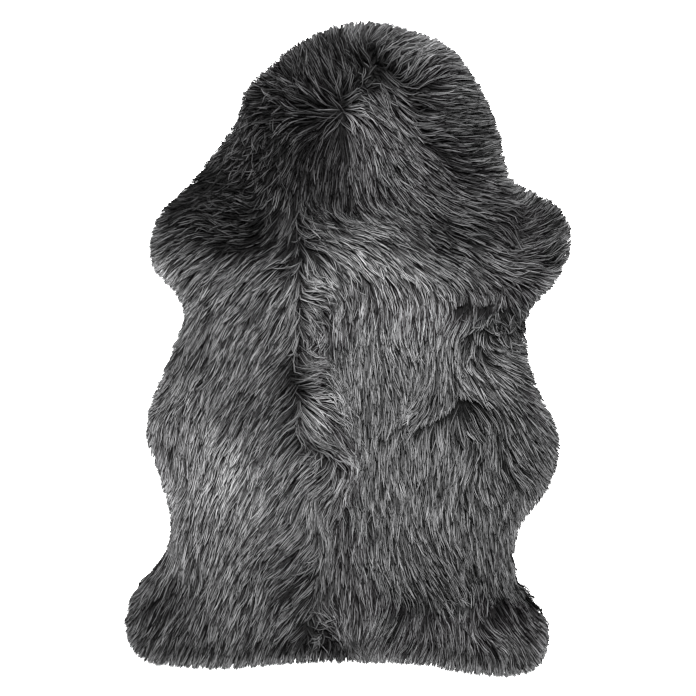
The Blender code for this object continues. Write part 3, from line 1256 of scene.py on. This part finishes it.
def bell(points, row, half_width, half_length, turn=0.0):
    """A bell curve round a table row's place: e to the minus squared distance, in half sizes along its own
    turned axes."""
    away = points - placed([row])[0]
    cosine, sine = math.cos(math.radians(turn)), math.sin(math.radians(turn))
    across = (away[:, 0] * cosine + away[:, 1] * sine) / (half_width * MM)
    along = (away[:, 1] * cosine - away[:, 0] * sine) / (half_length * MM)
    return np.exp(-(across**2) - along**2)


def parting_distance(points):
    """How far each point is from the nearest parting."""
    nearest = np.full(len(points), np.inf)
    for parting in PARTINGS:
        start, end = np.array(parting).reshape(2, 2) * MM + TABLE_ORIGIN
        run = end - start
        share = np.clip(((points - start) @ run) / (run @ run), 0, 1)
        nearest = np.minimum(nearest, np.linalg.norm(points - start - share[:, None] * run, axis=1))
    return nearest


def outwards():
    """The way out over the nearest edge at each point: down the slope of the map of ways in."""
    forward, right = np.gradient(way_in.values)
    slope = np.stack([-right.ravel(), -forward.ravel()], axis=1)
    return slope / (np.linalg.norm(slope, axis=1, keepdims=True) + SAME_POINT)


near_edge = np.exp(-way_in.values.reshape(-1, 1).clip(0) / EDGE_REACH)
wool_way = mapped(combed(map_points) + EDGE_FALL * near_edge * outwards())
way_out = mapped(outwards())
from_parting = mapped(parting_distance(map_points))
# The patches' painted shade and light, as a power of e.
painted_shade_and_light = mapped(
    sum(p.tone * bell(map_points, p, p.half_width, p.half_length, p.turn) for p in SHADE_AND_LIGHT_PATCHES)
)
stray = mapped(sum(t.stray * bell(map_points, t, t.radius, t.radius) for t in TANGLES))


def turned_by(way, angle):
    """Directions on the floor, each turned to the left by its own angle in radians."""
    cosine, sine = np.cos(angle), np.sin(angle)
    x, y = way[..., 0], way[..., 1]
    return np.stack([cosine * x - sine * y, sine * x + cosine * y], axis=-1)


def lay(roots, lengths, turns, bends, drifts, shares):
    """The line of each lock on the floor: a point at each share of its length, reached from the last in the
    coat's way a drift beside it, turned by the lock's own angle and a bend that grows to its tip."""
    line = [roots]
    ways = []
    for share, step in zip(shares, np.diff(shares, append=1), strict=True):
        way = wool_way.at(line[-1] + drifts)
        way /= np.linalg.norm(way, axis=1, keepdims=True)
        way = turned_by(way, turns + bends * share)
        ways.append(way)
        line.append(line[-1] + way * (lengths * step)[:, None])
    return np.stack(line[: len(shares)], axis=1), np.stack(ways, axis=1)


def shortened(roots, lengths, turns, bends, drifts, overhangs, shares):
    """The locks' lengths, cut so that each tip passes the wool's edge by no more than its own overhang times
    how far it faces outwards there, and again where a lock reaches a fold from the fold's left."""
    line, ways = lay(roots, lengths, turns, bends, drifts, shares)
    facing = (ways * way_out.at(line)).sum(axis=2).clip(0, 1)
    inside = way_in.at(line) + overhangs[:, None] * facing
    kept = np.ones(len(roots))
    for step in range(len(shares) - 1, 0, -1):
        before, here = inside[:, step - 1], inside[:, step]
        leaves = (here < 0) & (before >= 0)
        part = before / np.where(leaves, before - here, 1)
        there = shares[step - 1] + part * (shares[step] - shares[step - 1])
        kept = np.where(leaves, there, kept)
    for fold in FOLDS:
        ends = np.array(fold).reshape(2, 2) * MM + TABLE_ORIGIN
        for step in range(len(shares) - 1, 0, -1):
            before, here = line[:, step - 1], line[:, step]
            reached, passed = beside(*ends, before), beside(*ends, here)
            cut = crosses(before, here, ends) & (reached > 0)
            part = reached / np.where(cut, reached - passed, 1)
            there = shares[step - 1] + part * (shares[step] - shares[step - 1])
            kept = np.where(cut, np.minimum(kept, there), kept)
    return lengths * kept


def lock_roots(bed, rng):
    """Root places: a triangular grid with each point moved at random by up to a share of the gap, kept in its
    bed. The gap between its rows is the height of an even triangle."""
    low, high = edge.min(axis=0), edge.max(axis=0)
    rows = np.arange(low[1], high[1], bed.gap * ROW_GAP)
    columns = np.arange(low[0], high[0], bed.gap)
    across, along = np.meshgrid(columns, rows)
    across = across + (np.arange(len(rows)) % 2)[:, None] * bed.gap / 2
    places = np.stack([across.ravel(), along.ravel()], axis=1)
    places += rng.uniform(-ROOT_SHIFT, ROOT_SHIFT, places.shape) * bed.gap
    inside = way_in.at(places)
    return places[(inside > bed.least) & (inside < bed.most) & (from_parting.at(places) < bed.parting)]


def strand_faces(count, rings):
    """The corner numbers of each strand's faces: three quads between one ring and the next, then its root's
    triangle and three triangles up to its tip. Its corners go three to a ring, ring by ring, then its tip."""
    corners = 3 * rings + 1
    base = np.arange(count)[:, None, None] * corners
    side = np.arange(3)
    after = (side + 1) % 3
    ring = 3 * np.arange(rings - 1)[:, None]
    quads = np.stack([ring + side, ring + after, ring + 3 + after, ring + 3 + side], axis=-1).reshape(-1, 4)
    last = 3 * (rings - 1)
    tips = np.stack([last + side, last + after, np.full(3, corners - 1)], axis=-1)
    ends = np.vstack([[[2, 1, 0]], tips])
    return (quads[None] + base).reshape(-1, 4), (ends[None] + base).reshape(-1, 3)


def flat_map(mesh, count, shares):
    """A flat map with a cell of its own for each strand: its three sides next to one another, ring by ring up
    to the tip, and its root's triangle under them."""
    columns = math.ceil(math.sqrt(count * CELL_SHAPE))
    rows = math.ceil(count / columns)
    heights = ROOT_CELL + (1 - ROOT_CELL) * np.array(shares)
    quads = [
        [(side / 3, low), ((side + 1) / 3, low), ((side + 1) / 3, high), (side / 3, high)]
        for low, high in zip(heights[:-2], heights[1:-1], strict=True)
        for side in range(3)
    ]
    ends = [[(0, 0), (1, 0), (0.5, 0.7 * ROOT_CELL)]] + [
        [(side / 3, heights[-2]), ((side + 1) / 3, heights[-2]), ((side + 0.5) / 3, 1)] for side in range(3)
    ]
    margin = np.array([columns, rows]) / MAP_PIXELS
    cells = np.stack([np.arange(count) % columns, np.arange(count) // columns], axis=1)
    spots = [
        (cells[:, None] + margin + (1 - 2 * margin) * np.array(corners).reshape(-1, 2)) / (columns, rows)
        for corners in (quads, ends)
    ]
    flat = np.concatenate([spot.reshape(-1, 2) for spot in spots])
    mesh.uv_layers.new(name="OFBake").data.foreach_set("uv", flat.astype(np.float32).ravel())


def strand_mesh(name, line, widths, rolls, facts):
    """Strands as three-sided tapering rods: at each point of a strand's line, a triangle across it, turned by
    the strand's roll. Its width grows from the root and narrows again near the tip. The facts are the tone at
    each point, the strand's length, its points' shares of it, and the share at which its shading starts."""
    count, rings = len(line), line.shape[1] - 1
    share = facts["shares"][:-1]
    run = np.gradient(line, axis=1)
    run /= np.linalg.norm(run, axis=2, keepdims=True)
    across = np.cross(np.array([0.0, 0.0, 1.0]), run)
    across /= np.linalg.norm(across, axis=2, keepdims=True)
    up = np.cross(run, across)
    profile = np.interp(share, WIDTH_STATIONS, WIDTH_SHARES)
    angle = np.radians([90, 210, 330])[None, None, :] + rolls[:, None, None]
    half = (widths[:, None] * profile / 2)[:, :, None, None]
    sideways = across[:, :rings, None] * np.cos(angle)[..., None]
    upwards = up[:, :rings, None] * np.sin(angle)[..., None] * STRAND_HEIGHT * RIDGE_REACH
    corner_places = line[:, :rings, None] + half * CORNER_REACH * (sideways + upwards)
    corners = 3 * rings + 1
    corner_places = corner_places.reshape(count, 3 * rings, 3)
    places = np.concatenate([corner_places, line[:, rings:]], axis=1).reshape(-1, 3)
    quads, triangles = strand_faces(count, rings)

    mesh = bpy.data.meshes.new(name)
    mesh.vertices.add(len(places))
    mesh.vertices.foreach_set("co", places.astype(np.float32).ravel())
    mesh.loops.add(quads.size + triangles.size)
    face_corners = np.concatenate([quads.ravel(), triangles.ravel()])
    mesh.loops.foreach_set("vertex_index", face_corners.astype(np.int32))
    mesh.polygons.add(len(quads) + len(triangles))
    starts = np.concatenate([4 * np.arange(len(quads)), quads.size + 3 * np.arange(len(triangles))])
    mesh.polygons.foreach_set("loop_start", starts.astype(np.int32))
    mesh.update(calc_edges=True)
    mesh.shade_smooth()
    flat_map(mesh, count, facts["shares"])

    share = np.append(np.repeat(share, 3), 1.0)
    along = mesh.attributes.new("along", "FLOAT", "POINT")
    shown = share + (1 - share) * facts["start"][:, None]
    along.data.foreach_set("value", shown.astype(np.float32).ravel())
    tone = mesh.attributes.new("tone", "FLOAT", "POINT")
    ring_tones = np.repeat(facts["tone"][:, :rings], 3, axis=1)
    corner_tones = np.concatenate([ring_tones, facts["tone"][:, rings:]], axis=1)
    # Painted highlight on each strand's ridge and painted shade at its sides.
    corner_tones *= np.append(np.tile(RIDGE_HIGHLIGHT_SIDE_SHADE, rings), 1.0)
    tone.data.foreach_set("value", corner_tones.astype(np.float32).ravel())
    fibre = mesh.attributes.new("fibre", "FLOAT_VECTOR", "POINT")
    around = np.append(np.tile([0.0, 1.0, 2.0], rings), 0.0)
    spot = np.stack(
        [
            np.broadcast_to(around, (count, corners)),
            share * facts["length"][:, None] / FIBRE_LENGTH,
            np.broadcast_to(FIBRE_SHIFT * np.arange(count)[:, None], (count, corners)),
        ],
        axis=2,
    )
    fibre.data.foreach_set("vector", spot.astype(np.float32).ravel())
    return mesh


def grown(coat, roots, seed):
    """One coat as a mesh. Each lock's strands lie side by side and draw together as the square of the way to
    its tip, and wave a little. Their height goes from the root's depth under the coat's top to the tip's lift
    over it. A strand's tone is its coat's, times e to the power of the patches' painted shade and light there
    and of its own rank times the contrast, which grows where shade is painted. The same ranks lift its tip,
    so
    the strands that lie lower are darker: painted shade over a random tone."""
    rng = np.random.default_rng(seed)
    count = len(roots)
    turns = np.radians(rng.normal(0, 1, count) * coat.stray + waves(roots, 0.032, 71) * LOCK_WAVE)
    turns += np.radians(stray.at(roots)) * rng.normal(0, 1, count)
    bends = np.radians(rng.normal(0, LOCK_BEND, count) + stray.at(roots) * rng.normal(0, 1, count))
    drifts = rng.normal(0, DRIFT, (count, 2))
    lengths = coat.length * rng.uniform(*LENGTHS, count)
    lengths *= 1 - TANGLE_CURL * (stray.at(roots) / 40).clip(0, 1)
    overhangs = rng.uniform(0, OVERHANG, count)
    s = np.append(coat.rings, 1.0)
    lengths = shortened(roots, lengths, turns, bends, drifts, overhangs, s)
    kept = lengths > SHORTEST
    roots, turns, bends, drifts, lengths = (x[kept] for x in (roots, turns, bends, drifts, lengths))
    line, ways = lay(roots, lengths, turns, bends, drifts, s)
    count, strands = len(roots), coat.strands

    sides = np.stack([-ways[..., 1], ways[..., 0]], axis=-1)
    gather = rng.uniform(*GATHER, count)[:, None, None]
    root_side = (np.arange(strands) - (strands - 1) / 2 + rng.normal(0, 0.35, (count, strands))) / strands
    root_side = root_side * LOCK_WIDTH * rng.uniform(*LOCK_WIDTHS, count)[:, None]
    root_ahead = rng.uniform(-0.5, 0.5, (count, strands)) * ROOT_SPREAD
    splay = rng.normal(0, SPLAY, (count, strands)) * lengths[:, None]
    wavelength = CRIMP_LENGTH + CRIMP_CHANGE * waves(roots, 0.06, 72)[:, None, None]
    phase = (2 * math.pi * waves(roots, 0.05, 73))[:, None, None]
    phase = phase + rng.normal(0, CRIMP_SHIFT, (count, strands, 1))
    swing = rng.uniform(*CRIMP_SWINGS, count)[:, None, None] * s**0.6
    crimp = swing * np.sin(2 * math.pi * s * lengths[:, None, None] / wavelength + phase)
    sideways = root_side[..., None] * (1 - gather * s**2) + splay[..., None] * s + crimp
    ahead = root_ahead[..., None] * (1 - 0.4 * s)
    flat = line[:, None] + sides[:, None] * sideways[..., None] + ways[:, None] * ahead[..., None]

    lock_rank = rng.normal(0, 1, count)
    own_rank = rng.normal(0, 1, (count, strands))
    own_rank = np.where(own_rank < 0, DARKER, 1) * own_rank
    lift_at_tip = coat.tip_lift + RANK_LIFT * lock_rank[:, None] + RANK_LIFT * own_rank
    at_parting = np.exp(-((from_parting.at(roots) / SHALLOW_REACH) ** 2))
    depth = coat.root_depth * (1 - SHALLOW * at_parting)
    fall = depth[:, None, None] * (1 - s) ** 1.5
    lift = -fall + lift_at_tip[..., None] * s
    full_lift = (way_in.at(flat) / LIFT_REACH).clip(0, 1)
    heights = wool_top.at(flat) + lift * (EDGE_LIFT + (1 - EDGE_LIFT) * full_lift)
    heights = np.maximum(heights, coat.width * STRAND_HEIGHT + FLOOR_GAP)
    full = np.concatenate([flat, heights[..., None]], axis=-1).reshape(-1, len(s), 3)

    total = count * strands
    # Painted shade and light: the patches' change there, and the ranks, which also set how low a strand lies.
    own_tone = LOCK_CONTRAST * lock_rank[:, None] + STRAND_CONTRAST * np.minimum(own_rank, PALEST)
    there = painted_shade_and_light.at(full[..., :2])
    spread = 1 + DARK_CONTRAST * (-there).clip(0)
    tone = coat.tone * np.exp(own_tone.reshape(total, 1) * spread + there)
    facts = {"tone": tone, "length": np.repeat(lengths, strands), "shares": s}
    facts["start"] = np.repeat(PALE_ROOTS * at_parting, strands)
    widths = coat.width * rng.uniform(*WIDTHS, total)
    rolls = rng.normal(0, math.radians(ROLL), total)
    return strand_mesh(coat.name, full, widths, rolls, facts)


def long_wool():
    """Long lustrous wool, darker at the root and lighter to the tip: partly the wool's own paler tips and
    partly painted shade where the roots lie deep among the locks. Each strand has its own tone, which also
    carries painted shade and light, and fine fibres along it."""
    soft = {"Roughness": 0.60, "Specular IOR Level": 0.02}
    material, tree, shader = new_material("long_wool", soft)
    along, tone, fibre = (add_node(tree, "Attribute", {}) for _ in range(3))
    along.attribute_name = "along"
    tone.attribute_name = "tone"
    fibre.attribute_name = "fibre"
    # Darker to the root: partly the wool's own paler tips, partly painted shade where the roots lie deep
    # among the locks.
    root_shade_to_pale_tip = {"From Min": 0.05, "From Max": 0.70, "To Min": 0.08, "To Max": 1.0}
    ramp = add_node(tree, "MapRange", root_shade_to_pale_tip)
    fibres = fibres_in(tree, 1.4)
    first, second = (add_node(tree, "Math", {}) for _ in range(2))
    first.operation = "MULTIPLY"
    second.operation = "MULTIPLY"
    colour = add_node(tree, "VectorMath", {0: WOOL_COLOUR})
    colour.operation = "SCALE"
    bump = add_node(tree, "Bump", {"Strength": 0.5, "Distance": 0.0004})
    join(
        tree,
        (along, "Fac", ramp, "Value"),
        (fibre, "Vector", fibres, "Place"),
        (ramp, "Result", first, 0),
        (tone, "Fac", first, 1),
        (first, 0, second, 0),
        (fibres, "Tone", second, 1),
        (second, 0, colour, "Scale"),
        (colour, "Vector", shader, "Base Color"),
        (fibres, "Height", bump, "Height"),
        (bump, "Normal", shader, "Normal"),
    )
    return material


wool_material = long_wool()
root_rng = np.random.default_rng(20)
deep_roots = np.vstack([lock_roots(bed, root_rng) for bed in DEEP_BEDS])
long_roots = root_rng.permutation(np.vstack([lock_roots(bed, root_rng) for bed in LONG_BEDS]))
coats = [add_piece(DEEP_COAT.name, grown(DEEP_COAT, deep_roots, 21), wool_material)]
for number, coat in enumerate(LONG_COATS):
    mesh = grown(coat, long_roots[number :: len(LONG_COATS)], 22 + number)
    coats.append(add_piece(coat.name, mesh, wool_material))

# The floor, the light and the camera. A plain pale floor under one large soft light from the neck's side,
# with even light from all round, and the camera straight above the rug's middle.
FLOOR_HALF = 6.0
PICTURE_WIDTH = 1.011  # that the picture shows at the floor
CAMERA_HEIGHT = 3.4
SENSOR = 36.0
LIGHT_HEADING = 80
LIGHT_ELEVATION = 62
LIGHT_DISTANCE = 7.0
LIGHT_SIZE = 2.6
LIGHT_POWER = 4700
WORLD_STRENGTH = 1.05


def floor_material():
    """A pale matt studio floor, with a faint unevenness in its roughness."""
    pale = {"Base Color": (0.92, 0.92, 0.92, 1.0), "Specular IOR Level": 0.1}
    material, tree, shader = new_material("studio_floor", pale)
    place = add_node(tree, "TexCoord", {})
    cloud = add_node(tree, "TexNoise", {"Scale": 3})
    level = add_node(tree, "MapRange", {"To Min": 0.85, "To Max": 0.95})
    join(
        tree,
        (place, "Object", cloud, "Vector"),
        (cloud, "Fac", level, "Value"),
        (level, "Result", shader, "Roughness"),
    )
    return material


floor_mesh = bpy.data.meshes.new("floor")
floor_corners = [(x * FLOOR_HALF, y * FLOOR_HALF, 0.0) for x, y in ((-1, -1), (1, -1), (1, 1), (-1, 1))]
floor_mesh.from_pydata(floor_corners, [], [(0, 1, 2, 3)])
floor_mesh.materials.append(floor_material())
floor = bpy.data.objects.new("floor", floor_mesh)
bpy.context.scene.collection.objects.link(floor)

lamp_data = bpy.data.lights.new("soft_light", "AREA")
lamp_data.shape = "DISK"
lamp_data.size = LIGHT_SIZE
lamp_data.energy = LIGHT_POWER
lamp = bpy.data.objects.new("soft_light", lamp_data)
bpy.context.scene.collection.objects.link(lamp)
heading, elevation = math.radians(LIGHT_HEADING), math.radians(LIGHT_ELEVATION)
lamp.location = (
    LIGHT_DISTANCE * math.cos(elevation) * math.cos(heading),
    LIGHT_DISTANCE * math.cos(elevation) * math.sin(heading),
    LIGHT_DISTANCE * math.sin(elevation),
)
lamp.rotation_euler = (math.pi / 2 - elevation, 0, heading + math.pi / 2)

world = bpy.data.worlds.new("studio")
world.use_nodes = True
world.node_tree.nodes["Background"].inputs["Strength"].default_value = WORLD_STRENGTH
world.node_tree.nodes["Background"].inputs["Color"].default_value = (1, 1, 1, 1)
bpy.context.scene.world = world
bpy.context.scene.view_settings.view_transform = "Standard"

camera_data = bpy.data.cameras.new("camera")
camera_data.sensor_width = SENSOR
camera_data.lens = SENSOR * CAMERA_HEIGHT / PICTURE_WIDTH
camera = bpy.data.objects.new("camera", camera_data)
camera.location = (TABLE_ORIGIN[0], TABLE_ORIGIN[1], CAMERA_HEIGHT)
bpy.context.scene.collection.objects.link(camera)
bpy.context.scene.camera = camera
